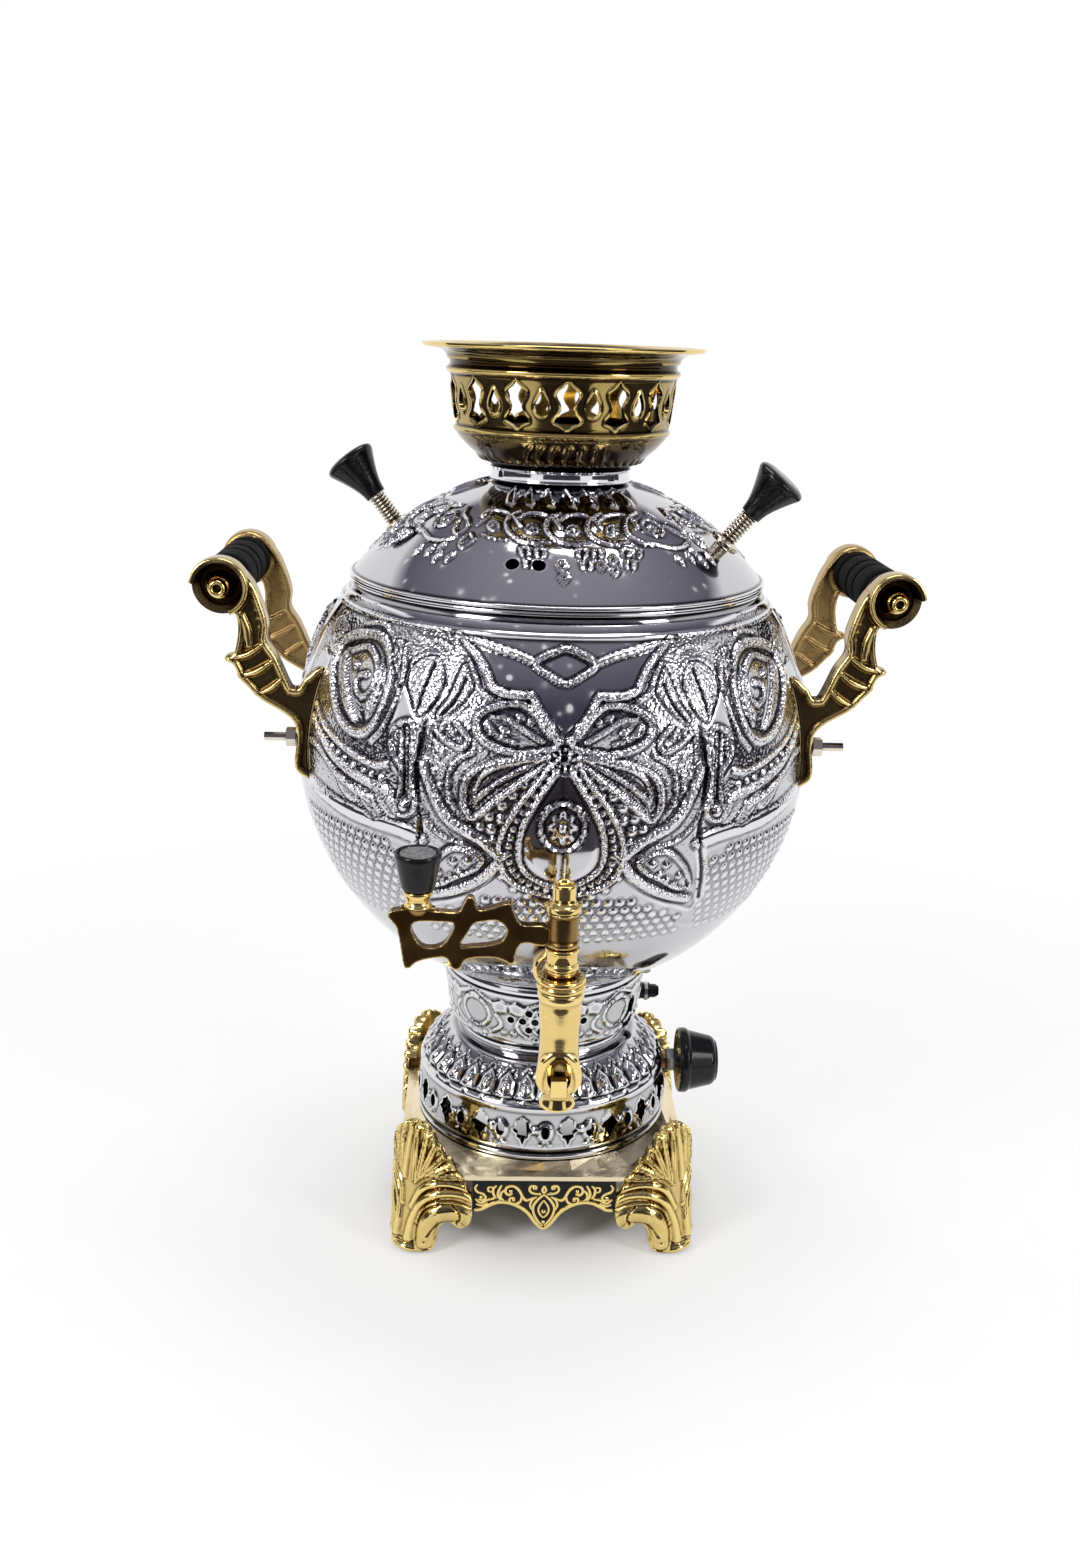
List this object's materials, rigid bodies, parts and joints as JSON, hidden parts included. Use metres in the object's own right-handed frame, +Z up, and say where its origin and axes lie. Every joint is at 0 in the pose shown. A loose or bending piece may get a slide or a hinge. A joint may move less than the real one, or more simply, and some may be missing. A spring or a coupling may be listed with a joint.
{
  "type": "samovar",
  "caption": "Gas samovar: round embossed vessel on a pierced foot, with a front tap, side carrying handles, a lift-off lid and a pierced crown for a teapot.",
  "frame": {"origin": "on the floor, under the middle of the whole object's bounding box; the vessel's upright axis is 21.9 mm behind it", "axes": "+Z up along the vessel's axis, -Y the front where the tap points, +X the side with the gas knob"},
  "size_m": [0.3524, 0.3078, 0.46],
  "materials": {
    "chrome": "bright chrome plate on sheet, embossed and hammered",
    "brass": "polished brass, castings with darker recesses",
    "black_panel": "black paint round raised brass scrollwork",
    "bakelite": "glossy black moulded plastic",
    "nickel": "polished warm nickel",
    "steel": "plain steel",
    "cast_iron": "rough cast",
    "rubber": "matte black rubber"
  },
  "bodies": {
    "samovar_body": {"vessel_shell": "chrome", "flue_tube": "steel", "neck_ring": "chrome", "skirt_shell": "chrome", "base_plate": "brass", "foot_front_right": "brass", "foot_back_right": "brass", "foot_back_left": "brass", "foot_front_left": "brass", "apron_front": "black_panel", "apron_right": "black_panel", "apron_back": "black_panel", "apron_left": "black_panel", "tap_boss": "chrome", "tap_body": "brass", "tap_gland": "brass", "handle_grip_right": "bakelite", "handle_grip_left": "bakelite", "grip_rod_right": "steel", "grip_rod_left": "steel", "grip_nut_right_front": "brass", "grip_nut_right_back": "brass", "grip_nut_left_back": "brass", "grip_nut_left_front": "brass", "handle_arm_right_front": "brass", "handle_arm_right_back": "brass", "handle_arm_left_back": "brass", "handle_arm_left_front": "brass", "handle_stud_right_front": "brass", "handle_stud_right_back": "brass", "handle_stud_left_back": "brass", "handle_stud_left_front": "brass", "gas_valve": "brass", "gas_collar_nut": "steel", "gas_venturi": "cast_iron", "burner_head": "cast_iron", "burner_bar": "steel", "gas_inlet": "brass", "gas_pipe": "brass", "igniter_body": "bakelite", "igniter_band": "nickel", "igniter_boot": "rubber", "neck_screw": "steel"},
    "lid": {"lid_dome": "chrome", "lid_collar": "chrome", "lid_stem_right": "nickel", "lid_stem_left": "nickel", "lid_knob_right": "bakelite", "lid_knob_left": "bakelite"},
    "crown": {"crown_gallery": "brass"},
    "tap_key": {"tap_plug": "brass", "tap_lever": "brass", "tap_ferrule": "brass", "tap_knob": "bakelite"},
    "gas_control": {"gas_spindle": "steel", "gas_knob": "bakelite"},
    "igniter_push": {"igniter_button": "bakelite"}
  },
  "joints": [
    {"name": "lid_lift", "type": "slide", "parent": "samovar_body", "child": "lid", "axis": [0, 0, 1], "range_m": [0, 0.1]},
    {"name": "crown_lift", "type": "slide", "parent": "lid", "child": "crown", "axis": [0, 0, 1], "range_m": [0, 0.06]},
    {"name": "tap_turn", "type": "hinge", "parent": "samovar_body", "child": "tap_key", "pos_m": [0, -0.1431, 0.21], "axis": [0, 0, 1], "range_deg": [0, 90]},
    {"name": "gas_turn", "type": "hinge", "parent": "samovar_body", "child": "gas_control", "pos_m": [0.08, 0.0219, 0.075], "axis": [1, 0, 0], "range_deg": [0, 270]},
    {"name": "igniter_press", "type": "slide", "parent": "samovar_body", "child": "igniter_push", "axis": [-1, 0, 0], "range_m": [0, 0.0028], "stiffness_N_per_m": 500}
  ]
}
